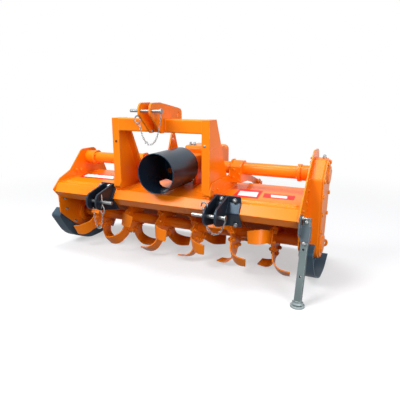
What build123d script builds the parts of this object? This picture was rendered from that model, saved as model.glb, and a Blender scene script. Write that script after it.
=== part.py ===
from build123d import *
import os
from math import atan2, cos, degrees, hypot, radians, sin, sqrt

# Three-point-hitch rotavator with a chain case on its right-hand side, standing on its skids and one leg.
# Millimetres. +X is the chain case side, +Y is rearwards, +Z is up.
# The origin is on the ground, midway across and straight below the rotor's axis.

# ---------------------------------------------------------------- main frame sizes
WIDTH = 1800.0  # between the side plates' inner faces
HALF = WIDTH / 2
PLATE = 8.0  # side plates
SHEET = 6.0  # folded beam and hood
BEVEL_TOP = (-284.0, 531.0)  # y, z of the fold between the beam's bevel and the deck
NOSE = (-320.0, 474.0)  # y, z of the beam's front edge
UNDER_EDGE = (-270.0, 419.0)  # y, z of the beam's lower rear edge
BEAM_REAR = -250.0  # y where the beam ends and the hood starts
DECK_SLOPE = 0.052  # rise of the deck for each millimetre rearwards
APEX_Y = 230.0  # y of the hood's highest fold
HOOD_REAR = (312.0, 404.0)  # y, z of the hood's rear edge

# ---------------------------------------------------------------- drive line
ROTOR_Z = 253.0
TIP_R = 240.0  # circle that the blades' tips run in
TUBE_R = 38.0
STUB_R = 24.0
STUB_REACH = 50.0  # that the stub shafts reach past the side plates
STUB_GAP = 2.0  # beyond the stub shafts' ends
RUNNING = 0.06  # radial clearance of a shaft in its bearing
PTO_Z = 682.0
PIPE = (80.0, 682.0)  # y, z of the cross tube's axis
PIPE_R = 42.0
PIPE_WALL = 6.0

# ---------------------------------------------------------------- three-point hitch
POST_OUT = 352.0  # outer faces of the headstock's posts
POST_FLANGE = 52.0
POST_FRONT = -316.0
POST_T = 8.0
BAR_TOP = 1022.0
BAR_H = 83.0
BAR_D = 80.0
TOP_PIN = (-455.0, BAR_TOP + 54.0)  # y, z
TOP_PIN_R = 9.5
LOWER_PIN = (-437.0, 476.0)  # y, z
LOWER_PIN_R = 11.0
LOWER_X = 426.0  # middle of each lower clevis
LOWER_GAP = 61.0
EAR_T = 12.0

os.makedirs("parts", exist_ok=True)


def deck_z(y):
    """Height of the deck's upper surface."""
    return BEVEL_TOP[1] + DECK_SLOPE * (y - BEVEL_TOP[0])


# ================================================================ front beam
# Folded sheet, closed into a five-sided box: bevel above the nose, short return below it.
beam_points = [
    BEVEL_TOP,
    NOSE,
    UNDER_EDGE,
    (BEAM_REAR, 432.0),
    (BEAM_REAR, deck_z(BEAM_REAR)),
]
with BuildPart() as front_beam:
    with BuildSketch(Plane.YZ.offset(-HALF)):
        Polygon(*beam_points, align=None)
        offset(amount=-SHEET, mode=Mode.SUBTRACT)
    extrude(amount=WIDTH)
front_beam.part.label = "front_beam"
export_step(front_beam.part, "parts/front_beam.step")

# ================================================================ hood
# One sheet from the beam over the rotor to the rear hinge, with a pressed bead on each side of the headstock.
BEAD_Y = -215.0
BEAD_W = 34.0
BEAD_H = 9.0
BEAD_ENDS = (385.0, HALF - 20.0)  # x where each bead starts and ends
HINGE = (324.0, 396.0)  # y, z of the levelling board's hinge
HINGE_PIN_R = 7.0
KNUCKLE_R = 13.0
KNUCKLE_L = 60.0
KNUCKLE_OUT = HALF - 60.0  # from the middle to the outermost knuckle
KNUCKLE_X = [-KNUCKLE_OUT, -KNUCKLE_OUT / 3, KNUCKLE_OUT / 3, KNUCKLE_OUT]
hood_line = [
    (BEAM_REAR, deck_z(BEAM_REAR)),
    (APEX_Y, deck_z(APEX_Y)),
    HOOD_REAR,
]
with BuildPart() as hood:
    with BuildSketch(Plane.YZ.offset(-HALF)):
        with BuildLine():
            FilletPolyline(*hood_line, radius=50.0)
            offset(amount=SHEET, side=Side.RIGHT)
        make_face()
    extrude(amount=WIDTH)
    for side in (-1, 1):
        bead_plane = Plane(
            origin=(side * (BEAD_ENDS[0] + BEAD_ENDS[1]) / 2, BEAD_Y, deck_z(BEAD_Y) - 1.0),
            x_dir=(1, 0, 0),
            z_dir=(0, -DECK_SLOPE, 1),
        )
        with BuildSketch(bead_plane):
            SlotOverall(BEAD_ENDS[1] - BEAD_ENDS[0], BEAD_W)
        extrude(amount=BEAD_H + 1.0, taper=35)
    for x in KNUCKLE_X:
        with BuildSketch(Plane.YZ.offset(x - KNUCKLE_L / 2)):
            with Locations(HINGE):
                Circle(KNUCKLE_R)
            Polygon(
                (HOOD_REAR[0] - 3.0, HOOD_REAR[1] + 4.0),
                (HINGE[0] + 2.0, HINGE[1] + KNUCKLE_R - 1.0),
                (HINGE[0] - 6.0, HINGE[1] - 4.0),
                (HOOD_REAR[0] - 6.0, HOOD_REAR[1] - 2.0),
                align=None,
            )
            with Locations(HINGE):
                Circle(HINGE_PIN_R, mode=Mode.SUBTRACT)
        extrude(amount=KNUCKLE_L)
hood.part.label = "hood"
export_step(hood.part, "parts/hood.step")

# ================================================================ side plates
BEARING_HOLE_R = 50.0
lower_outline = [(-284.0, 433.0), (-278.0, 299.0), (-137.0, 179.0), (-20.0, 112.0), (190.0, 96.0), (330.0, 210.0)]
left_outline = [
    (-335.0, 490.0),
    *lower_outline,
    (392.0, 330.0),
    (352.0, 425.0),
    (278.0, 585.0),
    (160.0, 752.0),
    (0.0, 752.0),
    (-141.0, 608.0),
    (-259.0, 562.0),
]
right_outline = [
    (-335.0, 476.0),
    *lower_outline,
    (392.0, 330.0),
    (352.0, 425.0),
    (278.0, 585.0),
    (172.0, 836.0),
    (24.0, 836.0),
    (-109.0, 725.0),
    (-196.0, 633.0),
    (-280.0, 545.0),
]
side_plates = {
    "left": (-HALF - PLATE, left_outline, [8, 10, 40, 60, 200, 80, 40, 60, 10, 20, 60, 55, 40, 60]),
    "right": (HALF, right_outline, [6, 10, 40, 60, 200, 80, 40, 60, 10, 20, 60, 45, 60, 60, 20]),
}
for side, (x_start, points, radii) in side_plates.items():
    with BuildPart() as side_plate:
        with BuildSketch(Plane.YZ.offset(x_start)):
            with BuildLine():
                FilletPolyline(*points, radius=radii, close=True)
            make_face()
            with Locations((0, ROTOR_Z)):
                Circle(BEARING_HOLE_R, mode=Mode.SUBTRACT)
        extrude(amount=PLATE)
    side_plate.part.label = f"side_plate_{side}"
    export_step(side_plate.part, f"parts/side_plate_{side}.step")

# ================================================================ chain case
CASE_X = HALF + PLATE
CASE_DEPTH = 75.0
COVER_T = 9.0
CASE_LOW_R = 92.0
case_points = [
    (-CASE_LOW_R, ROTOR_Z),
    (-88.0, 676.0),
    (22.0, 786.0),
    (118.0, 786.0),
    (178.0, 700.0),
    (CASE_LOW_R, ROTOR_Z),
]
with BuildPart() as chain_case:
    with BuildSketch(Plane.YZ.offset(CASE_X)):
        with BuildLine():
            FilletPolyline(*case_points, radius=[25.0, 30.0, 40.0, 60.0])
            ThreePointArc(case_points[0], (0, ROTOR_Z - CASE_LOW_R), case_points[-1])
        make_face()
    extrude(amount=CASE_DEPTH)
    fillet(chain_case.faces().sort_by(Axis.X)[-1].edges(), radius=6.0)
    with BuildSketch(Plane.YZ.offset(CASE_X)):
        with Locations((0, ROTOR_Z)):
            Circle(STUB_R + RUNNING)
    extrude(amount=STUB_REACH + STUB_GAP, mode=Mode.SUBTRACT)
chain_case.part.label = "chain_case"
export_step(chain_case.part, "parts/chain_case.step")

# Outer cover, with a hub over each shaft and bolt bosses round its rim.
HUB_R = 58.0
HUB_H = 10.0
BOSS_R = 12.0
BOSS_H = 8.0
boss_places = [(-66, 350), (-66, 460), (-66, 570), (-64, 665), (30, 758), (112, 758), (152, 690), (132, 560), (106, 430)]
with BuildPart() as chain_case_cover:
    with BuildSketch(Plane.YZ.offset(CASE_X + CASE_DEPTH)):
        with BuildLine():
            FilletPolyline(*case_points, radius=[25.0, 30.0, 40.0, 60.0])
            ThreePointArc(case_points[0], (0, ROTOR_Z - CASE_LOW_R), case_points[-1])
        make_face()
        offset(amount=-8.0, mode=Mode.REPLACE)
    extrude(amount=COVER_T)
    cover_face = Plane.YZ.offset(CASE_X + CASE_DEPTH + COVER_T)
    with BuildSketch(cover_face):
        with Locations((0, ROTOR_Z), PIPE):
            Circle(HUB_R)
    extrude(amount=HUB_H, taper=12)
    with BuildSketch(cover_face):
        with Locations(*boss_places):
            Circle(BOSS_R)
    extrude(amount=BOSS_H)
chain_case_cover.part.label = "chain_case_cover"
export_step(chain_case_cover.part, "parts/chain_case_cover.step")

# ================================================================ rotor bearings
# Guard rings on the plates' inner faces, and the closed bearing housing outside the left plate.
GUARD_R = 92.0
GUARD_T = 30.0
GUARD_BORE = 60.0
HOUSING_REACH = 94.0  # from the side plate's outer face
HOUSING_W = 170.0
HOUSING_CORNER_R = 30.0
HOUSING_T = 16.0
CAP_R = 66.0
for side, x_start in (("left", -HALF), ("right", HALF - GUARD_T)):
    with BuildPart() as shaft_guard:
        with BuildSketch(Plane.YZ.offset(x_start)):
            with Locations((0, ROTOR_Z)):
                Circle(GUARD_R)
                Circle(GUARD_BORE, mode=Mode.SUBTRACT)
        extrude(amount=GUARD_T)
    shaft_guard.part.label = f"shaft_guard_{side}"
    export_step(shaft_guard.part, f"parts/shaft_guard_{side}.step")

with BuildPart() as bearing_housing:
    with BuildSketch(Plane.YZ.offset(-HALF - PLATE)):
        with Locations((0, ROTOR_Z)):
            RectangleRounded(HOUSING_W, HOUSING_W, HOUSING_CORNER_R)
    extrude(amount=-HOUSING_T)
    with BuildSketch(Plane.YZ.offset(-HALF - PLATE - HOUSING_T)):
        with Locations((0, ROTOR_Z)):
            Circle(CAP_R)
    extrude(amount=HOUSING_T - HOUSING_REACH, taper=8)
    with BuildSketch(Plane.YZ.offset(-HALF - PLATE)):
        with Locations((0, ROTOR_Z)):
            Circle(STUB_R + RUNNING)
    extrude(amount=-STUB_REACH - STUB_GAP, mode=Mode.SUBTRACT)
bearing_housing.part.label = "bearing_housing"
export_step(bearing_housing.part, "parts/bearing_housing.step")

# ================================================================ cross tube and gearbox
GEARBOX_X = (-120.0, 232.0)  # left face of the main case, right face of the speed-change case
TUBE_END = HALF - 85.0
END_FLANGE_R = 56.0
END_FLANGE_T = 10.0
tube_spans = {"left": (-TUBE_END, GEARBOX_X[0]), "right": (GEARBOX_X[1], TUBE_END)}
for side, (x_low, x_high) in tube_spans.items():
    with BuildPart() as cross_tube:
        with BuildSketch(Plane.YZ.offset(x_low)):
            with Locations(PIPE):
                Circle(PIPE_R)
                Circle(PIPE_R - PIPE_WALL, mode=Mode.SUBTRACT)
        extrude(amount=x_high - x_low)
        flange_x = x_low if side == "left" else x_high - END_FLANGE_T
        with BuildSketch(Plane.YZ.offset(flange_x)):
            with Locations(PIPE):
                Circle(END_FLANGE_R)
                Circle(PIPE_R - PIPE_WALL, mode=Mode.SUBTRACT)
        extrude(amount=END_FLANGE_T)
    cross_tube.part.label = f"cross_tube_{side}"
    export_step(cross_tube.part, f"parts/cross_tube_{side}.step")

# Cast necks that join the tube's flanges to the side plates.
NECK_R = 50.0
for side, direction in (("left", -1), ("right", 1)):
    with BuildPart() as tube_neck:
        with BuildSketch(Plane.YZ.offset(direction * TUBE_END)):
            with Locations(PIPE):
                Circle(END_FLANGE_R)
        extrude(amount=direction * END_FLANGE_T)
        with BuildSketch(Plane.YZ.offset(direction * (TUBE_END + END_FLANGE_T))):
            with Locations(PIPE):
                Circle(NECK_R)
        extrude(amount=direction * (HALF - TUBE_END - END_FLANGE_T))
    tube_neck.part.label = f"tube_neck_{side}"
    export_step(tube_neck.part, f"parts/tube_neck_{side}.step")

INPUT_R = 17.4
NECK_FRONT = -60.0
GEARBOX_Y = (-10.0, 200.0)
GEARBOX_Z = (592.0, 764.0)
SADDLE_INSET = 36.0
SADDLE_X = 96.0
SADDLE_W = 24.0
with BuildPart() as gearbox:
    with BuildSketch(Plane.XY.offset(GEARBOX_Z[0])):
        with Locations((0, (GEARBOX_Y[0] + GEARBOX_Y[1]) / 2)):
            RectangleRounded(-2 * GEARBOX_X[0], GEARBOX_Y[1] - GEARBOX_Y[0], 16.0)
    extrude(amount=GEARBOX_Z[1] - GEARBOX_Z[0])
    fillet(gearbox.faces().sort_by(Axis.Z)[-1].edges(), radius=14.0)
    for x in (-SADDLE_X, SADDLE_X - SADDLE_W):
        with BuildSketch(Plane.YZ.offset(x)):
            Polygon(
                (GEARBOX_Y[0] + SADDLE_INSET, deck_z(GEARBOX_Y[0] + SADDLE_INSET)),
                (GEARBOX_Y[1] - SADDLE_INSET, deck_z(GEARBOX_Y[1] - SADDLE_INSET)),
                (GEARBOX_Y[1] - SADDLE_INSET, GEARBOX_Z[0] + 1.0),
                (GEARBOX_Y[0] + SADDLE_INSET, GEARBOX_Z[0] + 1.0),
                align=None,
            )
        extrude(amount=SADDLE_W)
    with BuildSketch(Plane.XZ.offset(10.0)):
        with Locations((0, PTO_Z)):
            Circle(62.0)
    extrude(amount=-NECK_FRONT - 10.0, taper=6)
    with BuildSketch(Plane.XZ.offset(-NECK_FRONT)):
        with Locations((0, PTO_Z)):
            Circle(INPUT_R + RUNNING)
    extrude(amount=-90.0, mode=Mode.SUBTRACT)
gearbox.part.label = "gearbox"
export_step(gearbox.part, "parts/gearbox.step")

# The speed-change case stands behind the main case, reaches over it and right over the cross tube.
SPEED_TOP = 812.0
SPEED_Y = (100.0, 310.0)  # front of its upper part, rear
SPEED_X = -30.0  # left end of its upper part
SPEED_STEP = 156.0  # x where its upper part becomes as deep as the tube's socket
SPEED_ROUND = 30.0  # rounds the front edge of its top
SOCKET_R = 74.0
SOCKET_L = 80.0
speed_points = [
    (SPEED_X, SPEED_TOP),
    (GEARBOX_X[1], SPEED_TOP),
    (GEARBOX_X[1], GEARBOX_Z[0] + 38.0),
    (GEARBOX_X[0], GEARBOX_Z[0] + 18.0),
    (GEARBOX_X[0], GEARBOX_Z[1] - 24.0),
    (SPEED_X - 30.0, GEARBOX_Z[1]),
]
upper_points = [
    (SPEED_Y[0], GEARBOX_Z[1]),
    (SPEED_Y[0], SPEED_TOP),
    (GEARBOX_Y[1] + 20.0, SPEED_TOP),
    (GEARBOX_Y[1] + 20.0, GEARBOX_Z[1]),
]
with BuildPart() as gear_case:
    with BuildSketch(Plane.XZ.offset(-GEARBOX_Y[1])):
        with BuildLine():
            FilletPolyline(*speed_points, radius=[30.0, 34.0, 30.0, 30.0, 30.0, 20.0], close=True)
        make_face()
    extrude(amount=GEARBOX_Y[1] - SPEED_Y[1])
    fillet(gear_case.faces().sort_by(Axis.Y)[-1].edges(), radius=8.0)
    with BuildSketch(Plane.YZ.offset(GEARBOX_X[1] - SOCKET_L)):
        with Locations(PIPE):
            Circle(SOCKET_R)
    extrude(amount=SOCKET_L)
    with BuildSketch(Plane.YZ.offset(SPEED_X)):
        with BuildLine():
            FilletPolyline(*upper_points, radius=[0.0, SPEED_ROUND, 0.0, 0.0], close=True)
        make_face()
    extrude(amount=GEARBOX_X[1] - SPEED_X)
    with BuildSketch(Plane.XZ.offset(-GEARBOX_Y[1] - 1.0)):
        with Locations(((GEARBOX_X[1] + SPEED_STEP) / 2, (SPEED_TOP + PTO_Z) / 2 - 10.0)):
            Rectangle(GEARBOX_X[1] - SPEED_STEP, SPEED_TOP - PTO_Z - 20.0)
    extrude(amount=GEARBOX_Y[1] + 1.0 - SPEED_Y[0])
gear_case.part.label = "gear_case"
export_step(gear_case.part, "parts/gear_case.step")

# Splined input shaft, 1 3/8 inch with six splines.
SPLINES = 6
SPLINE_DEPTH = 2.6
SHAFT_FRONT = -118.0
with BuildPart() as input_shaft:
    with BuildSketch(Plane.XZ.offset(-SHAFT_FRONT)):
        with Locations((0, PTO_Z)):
            Circle(INPUT_R)
    extrude(amount=SHAFT_FRONT - 28.0)
    with BuildSketch(Plane.XZ.offset(-SHAFT_FRONT)):
        with Locations((0, PTO_Z)):
            with PolarLocations(INPUT_R, SPLINES):
                Rectangle(2 * SPLINE_DEPTH, 8.6)
    extrude(amount=-54.0, mode=Mode.SUBTRACT)
input_shaft.part.label = "input_shaft"
export_step(input_shaft.part, "parts/input_shaft.step")

# ================================================================ shaft shield
SHIELD_R = 131.0
SHIELD_T = 5.0
SHIELD_Y = (-364.0, GEARBOX_Y[0])
SHIELD_BORE_R = 72.0  # round the gearbox's neck
SHIELD_PORT = (-92.0, 642.0)  # x, z of the small hole in its rear wall
SHIELD_PORT_R = 19.0
ACCESS_TURN = -112.0  # degrees from +X towards +Z, where the access opening faces
ACCESS_L = 160.0
ACCESS_W = 104.0
ACCESS_R = 45.0
ACCESS_BACK = 20.0  # from the shield's rear end to the opening
with BuildPart() as shaft_shield:
    with BuildSketch(Plane.XZ.offset(-SHIELD_Y[0])):
        with Locations((0, PTO_Z)):
            Circle(SHIELD_R)
            Circle(SHIELD_R - SHIELD_T, mode=Mode.SUBTRACT)
    extrude(amount=SHIELD_Y[0] - SHIELD_Y[1])
    with BuildSketch(Plane.XZ.offset(-SHIELD_Y[1] + SHIELD_T)):
        with Locations((0, PTO_Z)):
            Circle(SHIELD_R)
            Circle(SHIELD_BORE_R, mode=Mode.SUBTRACT)
        with Locations(SHIELD_PORT):
            Circle(SHIELD_PORT_R, mode=Mode.SUBTRACT)
    extrude(amount=-SHIELD_T)
    access_plane = Plane(
        origin=(0, SHIELD_Y[1] - ACCESS_BACK - ACCESS_L / 2, PTO_Z),
        x_dir=(0, 1, 0),
        z_dir=(cos(radians(ACCESS_TURN)), 0, sin(radians(ACCESS_TURN))),
    )
    with BuildSketch(access_plane):
        RectangleRounded(ACCESS_L, ACCESS_W, ACCESS_R)
    extrude(amount=SHIELD_R + SHIELD_T, mode=Mode.SUBTRACT)
shaft_shield.part.label = "shaft_shield"
export_step(shaft_shield.part, "parts/shaft_shield.step")

# ================================================================ headstock
POST_REAR_TOP = -212.0
POST_REAR_FOOT = 18.0
POST_FRONT_FOOT = 566.0
POST_WELL = 506.0  # z that the channel's hollow runs down to
POST_FOOT_R = 32.0  # rounds the front flange's inner lower corner
post_points = [
    (POST_FRONT, BAR_TOP),
    (POST_REAR_TOP, BAR_TOP),
    (POST_REAR_FOOT, deck_z(POST_REAR_FOOT)),
    BEVEL_TOP,
    (POST_FRONT, POST_FRONT_FOOT),
]
for side, direction in (("left", -1), ("right", 1)):
    outer = Plane.YZ.offset(direction * POST_OUT)
    with BuildPart() as post:
        with BuildSketch(outer):
            Polygon(*post_points, align=None)
        extrude(amount=-direction * POST_FLANGE)
        with BuildSketch(outer.offset(-direction * POST_T)):
            Polygon(
                (POST_FRONT + POST_T, BAR_TOP - POST_T),
                (POST_REAR_TOP - POST_T, BAR_TOP - POST_T),
                (POST_REAR_FOOT - 2 * POST_T, POST_WELL),
                (POST_FRONT + POST_T, POST_WELL),
                align=None,
            )
        extrude(amount=-direction * POST_FLANGE, mode=Mode.SUBTRACT)
        inner_x = POST_OUT - POST_FLANGE
        with BuildSketch(Plane.XZ.offset(-POST_FRONT)):
            with Locations((direction * (inner_x + POST_FOOT_R / 2), POST_FRONT_FOOT + POST_FOOT_R / 2)):
                Rectangle(POST_FOOT_R, POST_FOOT_R)
            with Locations((direction * (inner_x + POST_FOOT_R), POST_FRONT_FOOT + POST_FOOT_R)):
                Circle(POST_FOOT_R, mode=Mode.SUBTRACT)
        extrude(amount=-POST_T, mode=Mode.SUBTRACT)
    post.part.label = f"post_{side}"
    export_step(post.part, f"parts/post_{side}.step")

with BuildPart() as crossbar:
    with BuildSketch(Plane.YZ.offset(-(POST_OUT - POST_FLANGE))):
        with Locations((POST_FRONT + BAR_D / 2, BAR_TOP - BAR_H / 2)):
            RectangleRounded(BAR_D, BAR_H, 8.0)
            RectangleRounded(BAR_D - 12.0, BAR_H - 12.0, 3.0, mode=Mode.SUBTRACT)
    extrude(amount=2 * (POST_OUT - POST_FLANGE))
crossbar.part.label = "crossbar"
export_step(crossbar.part, "parts/crossbar.step")

# Two ears over the crossbar hold the top link's pin.
EAR_X = 38.0
EAR_TOP = BAR_TOP + 101.0
EAR_FOOT = BAR_TOP - BAR_H - 2.0
EAR_TIP = 34.0  # that the ears' lower tips stand in front of the crossbar
EAR_SLOT = (-130.0, 21.0)  # y, and height above the crossbar, of the rear slot
TOP_PIN_ENDS = (-104.0, 102.0)  # x
ear_points = [
    (-470.0, EAR_TOP),
    (-358.0, EAR_TOP),
    (-146.0, EAR_TOP - 34.0),
    (-82.0, EAR_TOP - 47.0),
    (-82.0, BAR_TOP - 22.0),
    (POST_FRONT + BAR_D, BAR_TOP - 22.0),
    (POST_FRONT + BAR_D, BAR_TOP),
    (POST_FRONT, BAR_TOP),
    (POST_FRONT, EAR_FOOT),
    (POST_FRONT - EAR_TIP, EAR_FOOT),
    (-474.0, TOP_PIN[1] - 21.0),
]
with BuildPart() as top_link_ears:
    for side in (-1, 1):
        with BuildSketch(Plane.YZ.offset(side * EAR_X - EAR_T / 2)):
            with BuildLine():
                FilletPolyline(*ear_points, radius=[36, 20, 20, 30, 12, 0, 0, 0, 4, 10, 30], close=True)
            make_face()
            with Locations(TOP_PIN):
                Circle(TOP_PIN_R, mode=Mode.SUBTRACT)
            with Locations((EAR_SLOT[0], BAR_TOP + EAR_SLOT[1])):
                SlotOverall(34.0, 16.0, rotation=70, mode=Mode.SUBTRACT)
        extrude(amount=EAR_T)
top_link_ears.part.label = "top_link_ears"
export_step(top_link_ears.part, "parts/top_link_ears.step")

with BuildPart() as top_link_pin:
    with BuildSketch(Plane.YZ.offset(TOP_PIN_ENDS[0])):
        with Locations(TOP_PIN):
            Circle(TOP_PIN_R)
    extrude(amount=TOP_PIN_ENDS[1] - TOP_PIN_ENDS[0])
    with BuildSketch(Plane.YZ.offset(TOP_PIN_ENDS[1])):
        with Locations(TOP_PIN):
            Circle(TOP_PIN_R + 5.0)
    extrude(amount=9.0)
top_link_pin.part.label = "top_link_pin"
export_step(top_link_pin.part, "parts/top_link_pin.step")

# Cheek plates outside the posts run back to the cross tube and clamp round it.
CHEEK_T = 8.0
CHEEK_REAR = 150.0  # y where the plates end on the deck
CLAMP_R = 54.0
cheek_points = [
    (POST_FRONT, 562.0),
    (POST_FRONT, 645.0),
    (0.0, 646.0),
    (PIPE[0] - 54.0, 700.0),
    (PIPE[0] - 34.0, 742.0),
    (PIPE[0] + 34.0, 742.0),
    (PIPE[0] + 58.0, 690.0),
    (CHEEK_REAR, 610.0),
    (CHEEK_REAR, deck_z(CHEEK_REAR)),
    BEVEL_TOP,
]
for side, direction in (("left", -1), ("right", 1)):
    x_low = POST_OUT if direction > 0 else -POST_OUT - CHEEK_T
    with BuildPart() as cheek:
        with BuildSketch(Plane.YZ.offset(x_low)):
            with BuildLine():
                FilletPolyline(*cheek_points, radius=[0, 56, 30, 30, 26, 26, 30, 20, 0, 0], close=True)
            make_face()
            with Locations(PIPE):
                Circle(PIPE_R + 0.2, mode=Mode.SUBTRACT)
        extrude(amount=CHEEK_T)
    cheek.part.label = f"cheek_{side}"
    export_step(cheek.part, f"parts/cheek_{side}.step")

# Clamp brackets on the cross tube, each with an arm that reaches back over the hood to the levelling board.
ARM_X = 428.0
ARM_T = 8.0
CLAMP_LENGTH = ARM_X + ARM_T - POST_OUT - CHEEK_T
ARM_BOLT = (406.0, 525.0)  # y, z of the bolt that clamps the board's quadrant
ARM_BOLT_R = 6.0
QUAD_GAP = 6.0  # from the arm to the quadrant beside it
QUAD_T = 8.0
CLAMP_FRONT = PIPE[0] - 70.0
CLAMP_FRONT_T = 8.0
CLAMP_LOW = 594.0  # z of the front plate's lower edge
clamp_points = [
    (CLAMP_FRONT, CLAMP_LOW),
    (CLAMP_FRONT, 702.0),
    (PIPE[0] - 32.0, PIPE[1] + 44.0),
    (PIPE[0] - 20.0, PIPE[1] - 44.0),
    (CLAMP_FRONT + CLAMP_FRONT_T, 624.0),
    (CLAMP_FRONT + CLAMP_FRONT_T, CLAMP_LOW),
]
arm_points = [
    (CLAMP_FRONT, CLAMP_LOW),
    (CLAMP_FRONT, 702.0),
    (PIPE[0] - 34.0, PIPE[1] + CLAMP_R),
    (PIPE[0] + CLAMP_R, PIPE[1] + CLAMP_R),
    (PIPE[0] + CLAMP_R, 634.0),
    (227.0, 611.0),
    (426.0, 541.0),
    (426.0, 500.0),
    (388.0, 500.0),
    (258.0, 556.0),
    (150.0, 584.0),
]
for side, direction in (("left", -1), ("right", 1)):
    with BuildPart() as rear_arm:
        with BuildSketch(Plane.YZ.offset(direction * (POST_OUT + CHEEK_T))):
            with Locations(PIPE):
                Circle(CLAMP_R)
            Polygon(*clamp_points, align=None)
            with Locations(PIPE):
                Circle(PIPE_R, mode=Mode.SUBTRACT)
        extrude(amount=direction * CLAMP_LENGTH)
        with BuildSketch(Plane.YZ.offset(direction * ARM_X)):
            with BuildLine():
                FilletPolyline(*arm_points, radius=[12, 20, 30, 50, 20, 60, 12, 12, 12, 60, 60], close=True)
            make_face()
            with Locations(PIPE):
                Circle(PIPE_R, mode=Mode.SUBTRACT)
        extrude(amount=direction * ARM_T)
        with BuildSketch(Plane.YZ.offset(direction * (ARM_X + ARM_T))):
            with Locations(ARM_BOLT):
                Circle(ARM_BOLT_R)
        extrude(amount=direction * (QUAD_GAP + QUAD_T + QUAD_GAP + 8.0))
        with BuildSketch(Plane.YZ.offset(direction * (ARM_X + ARM_T + 2 * QUAD_GAP + QUAD_T))):
            with Locations(ARM_BOLT):
                RegularPolygon(13.0, 6)
        extrude(amount=direction * 8.0)
    rear_arm.part.label = f"rear_arm_{side}"
    export_step(rear_arm.part, f"parts/rear_arm_{side}.step")

LUG_X = -102.0
LUG_T = 12.0
LUG_EYE = (56.0, 864.0)  # y, z
LUG_EYE_R = 13.0
LUG_SHOULDER = 795.0  # z where its edges start to lean together
LUG_TOP = 905.0
lug_points = [
    (LUG_EYE[0] - 62.0, GEARBOX_Z[1]),
    (LUG_EYE[0] - 62.0, LUG_SHOULDER),
    (LUG_EYE[0] - 19.5, LUG_TOP),
    (LUG_EYE[0] + 19.5, LUG_TOP),
    (LUG_EYE[0] + 62.0, LUG_SHOULDER),
    (LUG_EYE[0] + 62.0, GEARBOX_Z[1]),
]
with BuildPart() as lifting_lug:
    with BuildSketch(Plane.YZ.offset(LUG_X - LUG_T / 2)):
        with BuildLine():
            FilletPolyline(*lug_points, radius=[0.0, 20.0, 19.0, 19.0, 20.0, 0.0], close=True)
        make_face()
        with Locations(LUG_EYE):
            Circle(LUG_EYE_R, mode=Mode.SUBTRACT)
    extrude(amount=LUG_T)
lifting_lug.part.label = "lifting_lug"
export_step(lifting_lug.part, "parts/lifting_lug.step")

# ================================================================ lower hitch brackets
# A plate folded over the beam's nose carries two rounded ears. The right-hand plate is the wider.
BASE_T = 10.0
BASE_INNER = 372.0  # from the middle of the machine
BASE_OUTER = {"left": 492.0, "right": 550.0}
BASE_TOP_R = 13.0  # rounds the plate's upper corners
BASE_LOW_R = 24.0
fold_low = (-246.0, 378.0)
fold_top = (BEVEL_TOP[0], 575.0)
EAR_NOSE_R = 50.0
lower_ear_points = [
    fold_top,
    (LOWER_PIN[0] - EAR_NOSE_R, LOWER_PIN[1] + EAR_NOSE_R - 2.0),
    (LOWER_PIN[0] - EAR_NOSE_R, LOWER_PIN[1] - EAR_NOSE_R + 4.0),
    fold_low,
    NOSE,
    BEVEL_TOP,
]
INNER_REACH = 132.0  # from the middle of the clevis to the pin's inner end
OUTER_REACH = {"left": 52.0, "right": 78.0}
PIN_HEAD_T = 8.0
for side, direction in (("left", -1), ("right", 1)):
    base_width = BASE_OUTER[side] - BASE_INNER
    base_corners = [
        (direction * BASE_INNER, fold_low[1] - BASE_T / 2),
        (direction * BASE_OUTER[side], fold_low[1] - BASE_T / 2),
        (direction * BASE_OUTER[side], fold_top[1]),
        (direction * BASE_INNER, fold_top[1]),
    ]
    with BuildPart() as lower_bracket:
        with BuildSketch(Plane.YZ.offset(direction * BASE_INNER)):
            with BuildLine():
                Polyline(fold_top, BEVEL_TOP, NOSE, fold_low)
                offset(amount=BASE_T, side=Side.RIGHT)
            make_face()
        extrude(amount=direction * base_width)
        with BuildSketch(Plane.XZ):
            with BuildLine():
                FilletPolyline(*base_corners, radius=[BASE_LOW_R, BASE_LOW_R, BASE_TOP_R, BASE_TOP_R], close=True)
            make_face()
        extrude(amount=-NOSE[0] + 2 * BASE_T, mode=Mode.INTERSECT)
        for ear_side in (-1, 1):
            ear_mid = direction * (LOWER_X + ear_side * (LOWER_GAP + EAR_T) / 2)
            with BuildSketch(Plane.YZ.offset(ear_mid - EAR_T / 2)):
                with BuildLine():
                    FilletPolyline(*lower_ear_points, radius=[0, EAR_NOSE_R, EAR_NOSE_R, 0, 0, 0], close=True)
                make_face()
                with Locations(LOWER_PIN):
                    Circle(LOWER_PIN_R, mode=Mode.SUBTRACT)
            extrude(amount=EAR_T)
    lower_bracket.part.label = f"lower_bracket_{side}"
    export_step(lower_bracket.part, f"parts/lower_bracket_{side}.step")

    with BuildPart() as lower_pin:
        with BuildSketch(Plane.YZ.offset(direction * (LOWER_X - INNER_REACH))):
            with Locations(LOWER_PIN):
                Circle(LOWER_PIN_R)
        extrude(amount=direction * (INNER_REACH + OUTER_REACH[side]))
        with BuildSketch(Plane.YZ.offset(direction * (LOWER_X + OUTER_REACH[side]))):
            with Locations(LOWER_PIN):
                Circle(LOWER_PIN_R + 5.0)
        extrude(amount=direction * PIN_HEAD_T)
    lower_pin.part.label = f"lower_pin_{side}"
    export_step(lower_pin.part, f"parts/lower_pin_{side}.step")

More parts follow.
